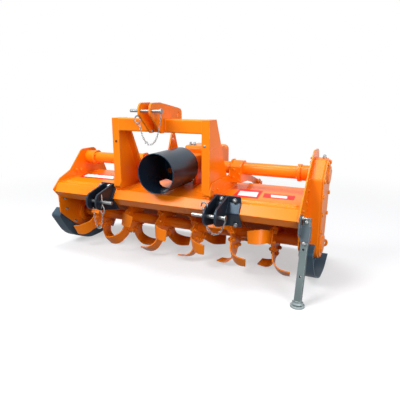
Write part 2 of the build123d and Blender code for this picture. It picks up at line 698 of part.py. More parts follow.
# ================================================================ skids
# A wide sole, turned up at both ends and folded back at the front, on an upright wall against the side plate.
SKID_T = 8.0
SKID_W = 82.0
SKID_WALL_T = 8.0
SKID_FOLD = (-280.0, 272.0)  # y, z inside the front fold
sole_line = [SKID_FOLD, (-165.0, 95.0), (40.0, SKID_T), (210.0, SKID_T), (342.0, 64.0)]
skid_line = [(-222.0, 314.0), *sole_line]
wall_line = [*sole_line[:4], (332.0, 59.0), (285.0, 150.0), (-104.0, 158.0), (-112.0, 230.0), (-222.0, 313.0)]
for side, direction in (("left", -1), ("right", 1)):
    x_start = direction * (HALF + PLATE)
    with BuildPart() as skid:
        with BuildSketch(Plane.YZ.offset(x_start)):
            with BuildLine():
                FilletPolyline(*skid_line, radius=[12.0, 260.0, 260.0, 260.0])
                offset(amount=SKID_T, side=Side.RIGHT)
            make_face()
        extrude(amount=direction * SKID_W)
        with BuildSketch(Plane.YZ.offset(x_start)):
            with BuildLine():
                FilletPolyline(*wall_line, radius=[12.0, 260.0, 260.0, 250.0, 20.0, 40.0, 0, 30.0, 0], close=True)
                offset(amount=SKID_T / 2, mode=Mode.REPLACE)
            make_face()
        extrude(amount=direction * SKID_WALL_T)
    skid.part.label = f"skid_{side}"
    export_step(skid.part, f"parts/skid_{side}.step")

# Eyes near the rear foot of each side, for the skid's depth setting.
EYE_REACH = HALF + PLATE + 94.0
for side, direction in (("left", -1), ("right", 1)):
    with BuildPart() as skid_eye:
        with BuildSketch(Plane.XZ.offset(-200.0)):
            with BuildLine():
                FilletPolyline(
                    (direction * (HALF + PLATE), 165.0),
                    (direction * EYE_REACH, 165.0),
                    (direction * EYE_REACH, 215.0),
                    (direction * (HALF + PLATE), 225.0),
                    radius=[24.0, 24.0],
                )
                Line((direction * (HALF + PLATE), 225.0), (direction * (HALF + PLATE), 165.0))
            make_face()
            with Locations((direction * (EYE_REACH - 26.0), 190.0)):
                Circle(10.0, mode=Mode.SUBTRACT)
        extrude(amount=-10.0)
    skid_eye.part.label = f"skid_eye_{side}"
    export_step(skid_eye.part, f"parts/skid_eye_{side}.step")

# ================================================================ parking stand
# A square leg slides through a sleeve that leans forward at the foot.
LEG = 40.0
LEG_PLAY = 0.6
SLEEVE_WALL = 6.0
SLEEVE_LENGTH = 92.0
SLEEVE_START = 360.0  # along the leg from its foot
LEAN = 17.0  # degrees from the vertical
STAND_PLATE = 8.0
STAND_X = HALF + PLATE + STAND_PLATE + SLEEVE_WALL + LEG / 2
FOOT = (-400.0, 10.0)  # y, z where the leg's axis meets the foot plate
FOOT_R = 41.0
lean_dir = Vector(0, sin(radians(LEAN)), cos(radians(LEAN)))
sleeve_start = Vector(STAND_X, FOOT[0], FOOT[1]) + lean_dir * SLEEVE_START
sleeve_plane = Plane(origin=sleeve_start, x_dir=(1, 0, 0), z_dir=lean_dir)
with BuildPart() as stand_sleeve:
    with BuildSketch(sleeve_plane):
        Rectangle(LEG + 2 * SLEEVE_WALL, LEG + 2 * SLEEVE_WALL)
        Rectangle(LEG + 2 * LEG_PLAY, LEG + 2 * LEG_PLAY, mode=Mode.SUBTRACT)
    extrude(amount=SLEEVE_LENGTH)
    with BuildSketch(Plane.YZ.offset(HALF + PLATE)):
        with BuildLine():
            FilletPolyline(
                (-345.0, 395.0),
                (-250.0, 395.0),
                (-245.0, 500.0),
                (-330.0, 508.0),
                radius=[6.0, 6.0, 12.0, 12.0],
                close=True,
            )
        make_face()
    extrude(amount=STAND_PLATE)
stand_sleeve.part.label = "stand_sleeve"
export_step(stand_sleeve.part, "parts/stand_sleeve.step")

foot_plane = Plane(origin=(STAND_X, FOOT[0], FOOT[1]), x_dir=(1, 0, 0), z_dir=lean_dir)
LEG_LENGTH = 483.0
LEG_WALL = 4.0
LEG_START = 14.0
COLLAR_START = -0.5
COLLAR_R = 31.0
HOLE_R = 6.5
HOLES = 2
HOLE_START = 161.0
HOLE_PITCH = 154.0
with BuildPart() as stand_leg:
    with BuildSketch(foot_plane.offset(LEG_START)):
        Rectangle(LEG, LEG)
        Rectangle(LEG - 2 * LEG_WALL, LEG - 2 * LEG_WALL, mode=Mode.SUBTRACT)
    extrude(amount=LEG_LENGTH)
    with BuildSketch(Plane(origin=foot_plane.origin, x_dir=(1, 0, 0), z_dir=foot_plane.y_dir)):
        with Locations(*[(0, -HOLE_START - i * HOLE_PITCH) for i in range(HOLES)]):
            Circle(HOLE_R)
    extrude(amount=LEG, both=True, mode=Mode.SUBTRACT)
    with BuildSketch(Plane.XY):
        with Locations((STAND_X, FOOT[0])):
            Circle(FOOT_R)
    extrude(amount=FOOT[1])
    with BuildSketch(foot_plane.offset(COLLAR_START)):
        Circle(COLLAR_R)
    extrude(amount=LEG_START - COLLAR_START + 6.0)
stand_leg.part.label = "stand_leg"
export_step(stand_leg.part, "parts/stand_leg.step")

# ================================================================ rotor
FLANGES = 6
END_GAP = 197.5  # from the side plates to the outermost flanges
FLANGE_PITCH = (WIDTH - 2 * END_GAP) / (FLANGES - 1)
FLANGE_R = 126.0
FLANGE_T = 10.0
NOTCH_R = 16.0
BLADE_T = 8.0
BLADE_W = 80.0
BLADE_EDGE = 62.0  # from the blade's middle to its swept corner
SHANK_W = 96.0
BLADE_REACH = 130.0  # from the flange's face to the blade's free end
BLADE_BEND = 90.0
SHANK_START = 78.0
BLADE_START = {"right": -10.0, "left": 42.0}  # degrees from +Y towards +Z, last flange's first blade
STAGGER = 16.0  # degrees that each flange is turned on from the last
BLADES_A_SIDE = 3
TUBE_HALF = HALF - 38.0
STUB_END = HALF + PLATE + STUB_REACH
flange_places = [FLANGE_PITCH * (i - (FLANGES - 1) / 2) for i in range(FLANGES)]

with BuildPart() as rotor_tube:
    with BuildSketch(Plane.YZ.offset(-TUBE_HALF)):
        with Locations((0, ROTOR_Z)):
            Circle(TUBE_R)
    extrude(amount=2 * TUBE_HALF)
    with BuildSketch(Plane.YZ.offset(-STUB_END)):
        with Locations((0, ROTOR_Z)):
            Circle(STUB_R)
    extrude(amount=2 * STUB_END)
rotor_tube.part.label = "rotor_tube"
export_step(rotor_tube.part, "parts/rotor_tube.step")

notch_start = (BLADE_START["right"] + BLADE_START["left"]) / 2
with BuildPart() as rotor_flanges:
    for i, x in enumerate(flange_places):
        with BuildSketch(Plane.YZ.offset(x - FLANGE_T / 2)):
            with Locations((0, ROTOR_Z)):
                Circle(FLANGE_R)
                Circle(TUBE_R, mode=Mode.SUBTRACT)
                with PolarLocations(FLANGE_R + 4.0, 2 * BLADES_A_SIDE, start_angle=notch_start + (i - FLANGES + 1) * STAGGER):
                    Circle(NOTCH_R, mode=Mode.SUBTRACT)
        extrude(amount=FLANGE_T)
rotor_flanges.part.label = "rotor_flanges"
export_step(rotor_flanges.part, "parts/rotor_flanges.step")

# One blade lying along local +Z from the rotor's axis, bent towards local +X and swept towards local -Y.
tip_z = sqrt(TIP_R**2 - BLADE_EDGE**2) - 0.5
with BuildPart() as blade_form:
    with BuildSketch(Plane.XZ.offset(-SHANK_W)):
        with BuildLine():
            FilletPolyline((0, SHANK_START), (0, tip_z), (BLADE_REACH, tip_z), radius=[BLADE_BEND])
            offset(amount=BLADE_T, side=Side.RIGHT)
        make_face()
    extrude(amount=2 * SHANK_W)
    with BuildSketch(Plane.YZ):
        with BuildLine():
            FilletPolyline(
                (-SHANK_W / 2, SHANK_START),
                (SHANK_W / 2, SHANK_START),
                (SHANK_W / 2, FLANGE_R + 2.0),
                (BLADE_W / 2, 165.0),
                (BLADE_W / 2, TIP_R),
                (-BLADE_EDGE, TIP_R),
                (-BLADE_W / 2, 175.0),
                (-SHANK_W / 2, FLANGE_R + 2.0),
                radius=[14.0, 14.0, 30.0, 60.0, 0.0, 0.0, 60.0, 30.0],
                close=True,
            )
        make_face()
    extrude(amount=BLADE_REACH + 1.0, mode=Mode.INTERSECT)
    with BuildSketch(Plane.XY.offset(SHANK_START - 1.0)):
        Polygon(
            (-1.0, -BLADE_EDGE),
            (BLADE_REACH - 14.0, -BLADE_EDGE),
            (BLADE_REACH, BLADE_W - BLADE_EDGE),
            (BLADE_T, SHANK_W / 2),
            (-1.0, SHANK_W / 2),
            align=None,
        )
    extrude(amount=TIP_R, mode=Mode.INTERSECT)

blade_forms = {"right": blade_form.part, "left": mirror(blade_form.part, about=Plane.YZ)}
for hand, direction in (("right", 1), ("left", -1)):
    solids = []
    for i, x in enumerate(flange_places):
        for k in range(BLADES_A_SIDE):
            angle = BLADE_START[hand] + (i - FLANGES + 1) * STAGGER + k * 360.0 / BLADES_A_SIDE
            face_plane = Plane(
                origin=(x + direction * FLANGE_T / 2, 0, ROTOR_Z),
                x_dir=(1, 0, 0),
                z_dir=(0, cos(radians(angle)), sin(radians(angle))),
            )
            solids.append(face_plane.location * blade_forms[hand])
    with BuildPart() as blades:
        add(solids)
    blades.part.label = f"blades_{hand}"
    export_step(blades.part, f"parts/blades_{hand}.step")

# ================================================================ levelling board
BOARD_HALF = HALF - 8.0
BOARD_T = 5.0
KNUCKLE_SHIFT = 90.0  # from each of the hood's knuckles to the board's
BOARD_KNUCKLE_X = [x - KNUCKLE_SHIFT if x > 0 else x + KNUCKLE_SHIFT for x in KNUCKLE_X]
board_line = [(HINGE[0] + 9.0, HINGE[1] - 20.0), (392.0, 235.0), (452.0, 92.0), (503.5, 40.0)]
with BuildPart() as hinge_pin:
    with BuildSketch(Plane.YZ.offset(-HALF + 1.0)):
        with Locations(HINGE):
            Circle(HINGE_PIN_R)
    extrude(amount=WIDTH - 2.0)
hinge_pin.part.label = "hinge_pin"
export_step(hinge_pin.part, "parts/hinge_pin.step")

QUAD_WIDTH = 46.0
QUAD_SLOT = 2 * ARM_BOLT_R + 5.0
quad_r = hypot(ARM_BOLT[0] - HINGE[0], ARM_BOLT[1] - HINGE[1])
bolt_angle = degrees(atan2(ARM_BOLT[1] - HINGE[1], ARM_BOLT[0] - HINGE[0]))
BOARD_LIFT = 40.0  # degrees that the board can be raised
QUAD_FOOT = -58.0  # degrees, where the quadrant is welded to the board
quadrant_arc = CenterArc(HINGE, quad_r, QUAD_FOOT, bolt_angle + 6.0 - QUAD_FOOT)
slot_arc = CenterArc(HINGE, quad_r, bolt_angle - BOARD_LIFT - 1.0, BOARD_LIFT + 2.0)
with BuildPart() as levelling_board:
    with BuildSketch(Plane.YZ.offset(-BOARD_HALF)):
        with BuildLine():
            FilletPolyline(*board_line, radius=[200.0, 60.0])
            offset(amount=BOARD_T, side=Side.LEFT)
        make_face()
    extrude(amount=2 * BOARD_HALF)
    for x in BOARD_KNUCKLE_X:
        with BuildSketch(Plane.YZ.offset(x - KNUCKLE_L / 2)):
            with Locations(HINGE):
                Circle(KNUCKLE_R)
            Polygon(
                (HINGE[0] - 2.0, HINGE[1] - KNUCKLE_R + 1.0),
                (HINGE[0] + KNUCKLE_R - 1.0, HINGE[1] - 2.0),
                (HINGE[0] + 24.0, HINGE[1] - 40.0),
                (HINGE[0] + 13.0, HINGE[1] - 36.0),
                align=None,
            )
            with Locations(HINGE):
                Circle(HINGE_PIN_R + RUNNING, mode=Mode.SUBTRACT)
        extrude(amount=KNUCKLE_L)
levelling_board.part.label = "levelling_board"
export_step(levelling_board.part, "parts/levelling_board.step")

# Slotted quadrants on the board's back, which the arms' bolts clamp.
with BuildPart() as quadrants:
    for direction in (-1, 1):
        with BuildSketch(Plane.YZ.offset(direction * (ARM_X + ARM_T + QUAD_GAP))):
            SlotArc(quadrant_arc, QUAD_WIDTH)
            SlotArc(slot_arc, QUAD_SLOT, mode=Mode.SUBTRACT)
            with BuildLine():
                FilletPolyline(*board_line, radius=[200.0, 60.0])
                offset(amount=BOARD_T, side=Side.LEFT)
            make_face(mode=Mode.SUBTRACT)
        extrude(amount=direction * QUAD_T)
quadrants.part.label = "quadrants"
export_step(quadrants.part, "parts/quadrants.step")
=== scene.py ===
from math import acosh, cos, cosh, pi, radians, sin, sqrt

import bmesh
import bpy
from mathutils import Matrix, Vector


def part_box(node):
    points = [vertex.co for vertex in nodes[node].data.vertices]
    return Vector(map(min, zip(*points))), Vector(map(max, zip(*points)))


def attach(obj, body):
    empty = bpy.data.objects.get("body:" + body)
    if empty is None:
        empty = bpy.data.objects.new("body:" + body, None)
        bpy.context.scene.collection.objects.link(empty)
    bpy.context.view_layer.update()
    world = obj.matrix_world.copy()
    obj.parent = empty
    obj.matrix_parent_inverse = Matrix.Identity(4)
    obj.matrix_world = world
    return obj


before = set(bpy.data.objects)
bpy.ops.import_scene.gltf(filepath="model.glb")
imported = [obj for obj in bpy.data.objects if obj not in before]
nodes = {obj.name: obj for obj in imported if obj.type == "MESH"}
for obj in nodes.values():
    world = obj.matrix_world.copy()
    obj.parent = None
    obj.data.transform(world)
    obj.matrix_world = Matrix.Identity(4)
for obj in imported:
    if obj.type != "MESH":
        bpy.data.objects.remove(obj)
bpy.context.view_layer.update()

# ---------------------------------------------------------------- studio
# The rotavator stands on a plain white floor that fades to pure white away from it.
# A large soft lamp stands high in front, with weaker ones overhead and at the right, under a dim sky.
# Metal and gloss paint mirror plain white surroundings.
bpy.ops.object.select_all(action="DESELECT")

CAMERA_TILT = 14.2017
CAMERA_TURN = 25.394
camera_data = bpy.data.cameras.new("camera")
camera_data.lens = 37.448
camera_data.sensor_width = 36.0
camera = bpy.data.objects.new("camera", camera_data)
camera.location = (1.36319, -2.57771, 1.16809)
camera.rotation_euler = (radians(90 - CAMERA_TILT), 0, radians(CAMERA_TURN))
bpy.context.collection.objects.link(camera)
bpy.context.scene.camera = camera
bpy.context.scene.view_settings.view_transform = "Standard"


def rays_that_see_white(made, links, path):
    """Is 1 for the camera's own rays and for those that metal or glass sends on."""
    seen = path.outputs["Is Camera Ray"]
    for kind in ("Is Glossy Ray", "Is Transmission Ray"):
        either = made.new("ShaderNodeMath")
        either.operation = "MAXIMUM"
        links.new(seen, either.inputs[0])
        links.new(path.outputs[kind], either.inputs[1])
        seen = either.outputs[0]
    return seen


world = bpy.data.worlds.new("studio")
world.use_nodes = True
bpy.context.scene.world = world
sky_nodes = world.node_tree.nodes
sky_links = world.node_tree.links
sky_nodes.clear()
sky_place = sky_nodes.new("ShaderNodeTexCoord")
sky_height = sky_nodes.new("ShaderNodeSeparateXYZ")
sky_level = sky_nodes.new("ShaderNodeMapRange")
sky_level.interpolation_type = "SMOOTHSTEP"
sky_level.inputs["From Min"].default_value = 0.05
sky_level.inputs["From Max"].default_value = 0.8
sky_level.inputs["To Min"].default_value = 0.14
sky_level.inputs["To Max"].default_value = 0.6
sky = sky_nodes.new("ShaderNodeBackground")
sky.inputs["Color"].default_value = (0.95, 0.97, 1.0, 1)
backdrop = sky_nodes.new("ShaderNodeBackground")
backdrop.inputs["Color"].default_value = (1.0, 1.0, 1.0, 1)
backdrop.inputs["Strength"].default_value = 1.0
sky_path = sky_nodes.new("ShaderNodeLightPath")
backdrop_mix = sky_nodes.new("ShaderNodeMixShader")
sky_out = sky_nodes.new("ShaderNodeOutputWorld")
sky_links.new(sky_place.outputs["Generated"], sky_height.inputs[0])
sky_links.new(sky_height.outputs["Z"], sky_level.inputs["Value"])
sky_links.new(sky_level.outputs["Result"], sky.inputs["Strength"])
sky_links.new(rays_that_see_white(sky_nodes, sky_links, sky_path), backdrop_mix.inputs["Fac"])
sky_links.new(sky.outputs[0], backdrop_mix.inputs[1])
sky_links.new(backdrop.outputs[0], backdrop_mix.inputs[2])
sky_links.new(backdrop_mix.outputs[0], sky_out.inputs["Surface"])


def soft_lamp(name, place, size, power):
    """A round soft lamp that points at the machine's middle."""
    lamp = bpy.data.lights.new(name, "AREA")
    lamp.shape = "DISK"
    lamp.size = size
    lamp.energy = power
    holder = bpy.data.objects.new(name, lamp)
    holder.location = place
    holder.rotation_euler = (Vector((0, 0, 0.5)) - Vector(place)).to_track_quat("-Z", "Y").to_euler()
    bpy.context.collection.objects.link(holder)


soft_lamp("front_lamp", (-1.4, -3.2, 3.6), size=1.9, power=165)
soft_lamp("top_lamp", (-0.2, -0.3, 4.4), size=1.5, power=95)
soft_lamp("right_lamp", (3.7, -3.0, 1.7), size=2.2, power=115)

bpy.ops.mesh.primitive_plane_add(size=60, location=(0, 0, 0))
floor = bpy.context.object
floor.name = "floor"
floor_white = bpy.data.materials.new("floor_white")
floor_white.use_nodes = True
floor_nodes = floor_white.node_tree.nodes
floor_links = floor_white.node_tree.links
floor_nodes.clear()
floor_place = floor_nodes.new("ShaderNodeTexCoord")
floor_radius = floor_nodes.new("ShaderNodeVectorMath")
floor_radius.operation = "LENGTH"
floor_fade = floor_nodes.new("ShaderNodeMapRange")
floor_fade.interpolation_type = "SMOOTHSTEP"
floor_fade.inputs["From Min"].default_value = 1.3
floor_fade.inputs["From Max"].default_value = 4.2
floor_fade.inputs["To Min"].default_value = 0.5
floor_fade.inputs["To Max"].default_value = 1.0
floor_path = floor_nodes.new("ShaderNodeLightPath")
floor_share = floor_nodes.new("ShaderNodeMath")
floor_share.operation = "MULTIPLY"
floor_lit = floor_nodes.new("ShaderNodeBsdfDiffuse")
floor_tone = floor_nodes.new("ShaderNodeMix")
floor_tone.data_type = "RGBA"
floor_tone.inputs["A"].default_value = (0.13, 0.13, 0.14, 1)
floor_tone.inputs["B"].default_value = (0.84, 0.84, 0.86, 1)
floor_glow = floor_nodes.new("ShaderNodeEmission")
floor_mix = floor_nodes.new("ShaderNodeMixShader")
floor_out = floor_nodes.new("ShaderNodeOutputMaterial")
floor_links.new(floor_place.outputs["Object"], floor_radius.inputs[0])
floor_links.new(floor_radius.outputs["Value"], floor_fade.inputs["Value"])
floor_links.new(rays_that_see_white(floor_nodes, floor_links, floor_path), floor_share.inputs[0])
floor_links.new(floor_fade.outputs["Result"], floor_share.inputs[1])
floor_links.new(floor_path.outputs["Is Camera Ray"], floor_tone.inputs["Factor"])
floor_links.new(floor_tone.outputs["Result"], floor_lit.inputs["Color"])
floor_links.new(floor_share.outputs[0], floor_mix.inputs["Fac"])
floor_links.new(floor_lit.outputs[0], floor_mix.inputs[1])
floor_links.new(floor_glow.outputs[0], floor_mix.inputs[2])
floor_links.new(floor_mix.outputs[0], floor_out.inputs["Surface"])
floor.data.materials.append(floor_white)

# ---------------------------------------------------------------- beam, hood and side plates
# The body of the machine is folded and welded steel sheet in gloss orange enamel.
# The enamel pools a little darker and has fine orange peel. It is lighter along its edges, partly from rubbed
# wear and partly from a painted highlight where rounded edges would catch the light.


def finish(
    name, colour, shade, edge_wear_and_highlight, roughness, grain, grain_depth, metallic=0.0, specular=0.5, tint=(1, 1, 1)
):
    """Enamel or bare metal: cloudy colour, edges lighter in patches from rubbed wear and a painted highlight,
    uneven gloss and a fine grain.
    """
    material = bpy.data.materials.new(name)
    material.use_nodes = True
    made = material.node_tree.nodes
    links = material.node_tree.links
    shader = made["Principled BSDF"]
    shader.inputs["Metallic"].default_value = metallic
    shader.inputs["Specular IOR Level"].default_value = specular
    shader.inputs["Specular Tint"].default_value = (*tint, 1)
    place = made.new("ShaderNodeTexCoord")

    # colour, in large soft clouds
    cloud = made.new("ShaderNodeTexNoise")
    cloud.inputs["Scale"].default_value = 2.4
    cloud.inputs["Detail"].default_value = 2.0
    cloud.inputs["Roughness"].default_value = 0.5
    links.new(place.outputs["Object"], cloud.inputs["Vector"])
    tone = made.new("ShaderNodeValToRGB")
    tone.color_ramp.elements[0].position = 0.34
    tone.color_ramp.elements[0].color = (*shade, 1)
    tone.color_ramp.elements[1].position = 0.62
    tone.color_ramp.elements[1].color = (*colour, 1)
    links.new(cloud.outputs["Fac"], tone.inputs["Fac"])

    # edges, lighter in patches: rubbed wear together with a painted highlight
    rounded = made.new("ShaderNodeBevel")
    rounded.samples = 4
    rounded.inputs["Radius"].default_value = 0.005
    flat = made.new("ShaderNodeNewGeometry")
    agree = made.new("ShaderNodeVectorMath")
    agree.operation = "DOT_PRODUCT"
    links.new(rounded.outputs["Normal"], agree.inputs[0])
    links.new(flat.outputs["Normal"], agree.inputs[1])
    edge = made.new("ShaderNodeMapRange")
    edge.inputs["From Min"].default_value = 0.99
    edge.inputs["From Max"].default_value = 0.86
    links.new(agree.outputs["Value"], edge.inputs["Value"])
    patch_noise = made.new("ShaderNodeTexNoise")
    patch_noise.inputs["Scale"].default_value = 55.0
    patch_noise.inputs["Detail"].default_value = 6.0
    links.new(place.outputs["Object"], patch_noise.inputs["Vector"])
    patchy = made.new("ShaderNodeMapRange")
    patchy.inputs["From Min"].default_value = 0.25
    patchy.inputs["From Max"].default_value = 0.6
    links.new(patch_noise.outputs["Fac"], patchy.inputs["Value"])
    wear_and_highlight = made.new("ShaderNodeMath")
    wear_and_highlight.operation = "MULTIPLY"
    links.new(edge.outputs["Result"], wear_and_highlight.inputs[0])
    links.new(patchy.outputs["Result"], wear_and_highlight.inputs[1])
    # The lighter edge colour is partly wear and partly a painted highlight of rounded edges.
    painted = made.new("ShaderNodeMix")
    painted.data_type = "RGBA"
    painted.inputs["B"].default_value = (*edge_wear_and_highlight, 1)
    links.new(wear_and_highlight.outputs[0], painted.inputs["Factor"])
    links.new(tone.outputs["Color"], painted.inputs["A"])
    links.new(painted.outputs["Result"], shader.inputs["Base Color"])

    # gloss, a little duller where the colour is fuller
    gloss = made.new("ShaderNodeMapRange")
    gloss.inputs["From Min"].default_value = 0.3
    gloss.inputs["From Max"].default_value = 0.7
    gloss.inputs["To Min"].default_value = roughness - 0.04
    gloss.inputs["To Max"].default_value = roughness + 0.06
    links.new(cloud.outputs["Fac"], gloss.inputs["Value"])
    links.new(gloss.outputs["Result"], shader.inputs["Roughness"])

    # grain: orange peel, cast skin or brushing
    peel = made.new("ShaderNodeTexNoise")
    peel.inputs["Scale"].default_value = grain
    peel.inputs["Detail"].default_value = 3.0
    links.new(place.outputs["Object"], peel.inputs["Vector"])
    relief = made.new("ShaderNodeBump")
    relief.inputs["Strength"].default_value = 0.2
    relief.inputs["Distance"].default_value = grain_depth
    links.new(peel.outputs["Fac"], relief.inputs["Height"])
    links.new(rounded.outputs["Normal"], relief.inputs["Normal"])
    links.new(relief.outputs["Normal"], shader.inputs["Normal"])
    return material


def clad(material, *names):
    """Gives CAD nodes their material."""
    for name in names:
        slots = nodes[name].data.materials
        slots.clear()
        slots.append(material)


# Its edge colour is a lighter yellow, for rubbed enamel and for a painted highlight along the edges.
orange = finish(
    "orange_enamel",
    colour=(0.95, 0.225, 0.004),
    shade=(0.91, 0.200, 0.003),
    edge_wear_and_highlight=(1.0, 0.40, 0.05),
    roughness=0.27,
    grain=240.0,
    grain_depth=0.00008,
    specular=0.18,
)
clad(orange, "front_beam", "hood", "side_plate_left", "side_plate_right")
clad(orange, "shaft_guard_left", "shaft_guard_right")

# ---------------------------------------------------------------- stripes on the deck
# Thin vinyl stripes: one red and white band left of the headstock and two right of it.
# Each is cut slanting, and is stuck flat on the deck just behind the bead.
FILM_T = 0.0004
RED_LIFT = 0.0002
WHITE_LIFT = 0.0008
DECK_FRONT_Y = -0.284
DECK_FRONT_Z = 0.531
DECK_RISE = 0.052


def deck_height(y):
    """The deck climbs gently towards the back."""
    return DECK_FRONT_Z + DECK_RISE * (y - DECK_FRONT_Y)


def stripe(name, material, lift, *corners):
    """A film with slanting ends. Its corners are x, y on the deck: the near two, then the far two."""
    bpy.ops.object.select_all(action="DESELECT")
    bpy.ops.mesh.primitive_plane_add(size=1, location=(0, 0, 0))
    film = bpy.context.object
    film.name = name
    bpy.ops.object.mode_set(mode="EDIT")
    bpy.ops.mesh.select_all(action="SELECT")
    bpy.ops.mesh.subdivide(number_cuts=3)
    bpy.ops.object.mode_set(mode="OBJECT")
    near_left, near_right, far_left, far_right = (Vector(corner) for corner in corners)
    for vertex in film.data.vertices:
        across = vertex.co.x + 0.5
        back = vertex.co.y + 0.5
        spot = near_left.lerp(near_right, across).lerp(far_left.lerp(far_right, across), back)
        vertex.co = (spot.x, spot.y, deck_height(spot.y) + lift)
    wall = film.modifiers.new("thickness", "SOLIDIFY")
    wall.thickness = FILM_T
    wall.offset = 1.0
    bpy.ops.object.modifier_apply(modifier="thickness")
    film.data.materials.append(material)
    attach(film, "frame")


red = finish(
    "red_film",
    colour=(0.80, 0.018, 0.012),
    shade=(0.74, 0.015, 0.010),
    edge_wear_and_highlight=(0.85, 0.06, 0.04),
    roughness=0.4,
    grain=600.0,
    grain_depth=0.0001,
    specular=0.15,
)
white = finish(
    "white_film",
    colour=(0.87, 0.85, 0.85),
    shade=(0.82, 0.79, 0.80),
    edge_wear_and_highlight=(0.9, 0.9, 0.88),
    roughness=0.4,
    grain=600.0,
    grain_depth=0.0001,
    specular=0.2,
)
stripe("stripe_left_red", red, RED_LIFT, (-0.873, -0.080), (-0.545, -0.072), (-0.902, 0.045), (-0.640, 0.060))
stripe(
    "stripe_left_white", white, WHITE_LIFT, (-0.855, -0.052), (-0.572, -0.044), (-0.870, 0.022), (-0.625, 0.034)
)
stripe("stripe_right_red", red, RED_LIFT, (0.440, -0.150), (0.607, -0.148), (0.425, 0.038), (0.587, 0.038))
stripe(
    "stripe_right_white", white, WHITE_LIFT, (0.462, -0.118), (0.590, -0.114), (0.444, -0.014), (0.570, -0.010)
)
stripe("stripe_far_red", red, RED_LIFT, (0.629, -0.108), (0.822, -0.098), (0.610, -0.012), (0.811, -0.006))
stripe(
    "stripe_far_white", white, WHITE_LIFT, (0.676, -0.086), (0.776, -0.082), (0.660, -0.034), (0.766, -0.030)
)

# ---------------------------------------------------------------- side plate bolts
# Hexagon bolts with round washers hold the bearing, a bracket and the chain case to the side plates.
# Most were painted over with the machine, and a few later ones are bright zinc.
WASHER_T = 0.0022


def choose(piece, kind, wanted):
    """Opens a piece in edit mode with only the wanted faces, edges or vertices chosen."""
    bpy.ops.object.select_all(action="DESELECT")
    piece.select_set(True)
    bpy.context.view_layer.objects.active = piece
    bpy.ops.object.mode_set(mode="EDIT")
    bpy.ops.mesh.select_mode(type=kind)
    bpy.ops.mesh.select_all(action="DESELECT")
    shape = bmesh.from_edit_mesh(piece.data)
    for part in {"FACE": shape.faces, "EDGE": shape.edges, "VERT": shape.verts}[kind]:
        if wanted(part):
            part.select_set(True)
    bmesh.update_edit_mesh(piece.data)


def disc(vertices, radius, depth, base_z=0.0):
    """A round or six-sided blank on the z axis. Its flat top is left chosen, in edit mode."""
    bpy.ops.object.select_all(action="DESELECT")
    bpy.ops.mesh.primitive_cylinder_add(
        vertices=vertices, radius=radius, depth=depth, location=(0, 0, base_z + depth / 2)
    )
    blank = bpy.context.object
    choose(blank, "FACE", lambda face: face.normal.z > 0.9)
    return blank


def place_in_mesh(piece):
    """Leaves edit mode and puts the piece's place into its mesh."""
    bpy.ops.object.mode_set(mode="OBJECT")
    piece.data.transform(piece.matrix_world)
    piece.matrix_world = Matrix.Identity(4)
    return piece


def join(pieces, name):
    """Makes several meshes one piece."""
    bpy.ops.object.select_all(action="DESELECT")
    for piece in pieces:
        piece.select_set(True)
    bpy.context.view_layer.objects.active = pieces[0]
    if len(pieces) > 1:
        bpy.ops.object.join()
    joined = bpy.context.view_layer.objects.active
    joined.name = name
    return joined


def settle(piece, material, body):
    """Turns a finished piece's faces outwards, gives it its material and fixes it to its body."""
    choose(piece, "FACE", lambda face: True)
    bpy.ops.mesh.normals_make_consistent(inside=False)
    bpy.ops.object.mode_set(mode="OBJECT")
    bpy.ops.object.transform_apply(location=True, rotation=True, scale=True)
    bpy.ops.object.shade_smooth_by_angle(angle=radians(38))
    piece.data.materials.clear()
    piece.data.materials.append(material)
    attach(piece, body)


def shape_bolt(name, across, height, stud=0.0):
    """A bolt head or a nut on its washer, standing on the origin. A nut has a stud's end above it."""
    head = disc(6, across / sqrt(3), height, WASHER_T)
    bpy.ops.mesh.inset(thickness=across * 0.09, depth=across * 0.05)
    parts = [place_in_mesh(head)]
    washer = disc(18, across * 0.62, WASHER_T)
    bpy.ops.mesh.inset(thickness=across * 0.03, depth=across * 0.02)
    parts.append(place_in_mesh(washer))
    if stud:
        end = disc(12, across * 0.3, stud, WASHER_T + height)
        bpy.ops.mesh.inset(thickness=across * 0.06, depth=across * 0.05)
        parts.append(place_in_mesh(end))
    return join(parts, name)


def set_out(master, name, spots, material, body):
    """Copies a master to each place, its top pointing outwards, and joins the copies into one piece."""
    copies = []
    for place, outward in spots:
        single = master.copy()
        single.data = master.data.copy()
        turn = Vector(outward).to_track_quat("Z", "Y").to_matrix().to_4x4()
        single.data.transform(Matrix.Translation(place) @ turn)
        bpy.context.collection.objects.link(single)
        copies.append(single)
    settle(join(copies, name), material, body)


zinc = finish(
    "zinc_plate",
    colour=(0.34, 0.35, 0.35),
    shade=(0.24, 0.25, 0.25),
    edge_wear_and_highlight=(0.50, 0.50, 0.49),
    roughness=0.36,
    grain=900.0,
    grain_depth=0.0002,
    metallic=0.9,
)
bolt = shape_bolt("bolt", across=0.019, height=0.0080)
nut = shape_bolt("nut", across=0.019, height=0.0095, stud=0.004)
small_bolt = shape_bolt("small_bolt", across=0.014, height=0.0060)
leftward, rightward, forward = (-1, 0, 0), (1, 0, 0), (0, -1, 0)

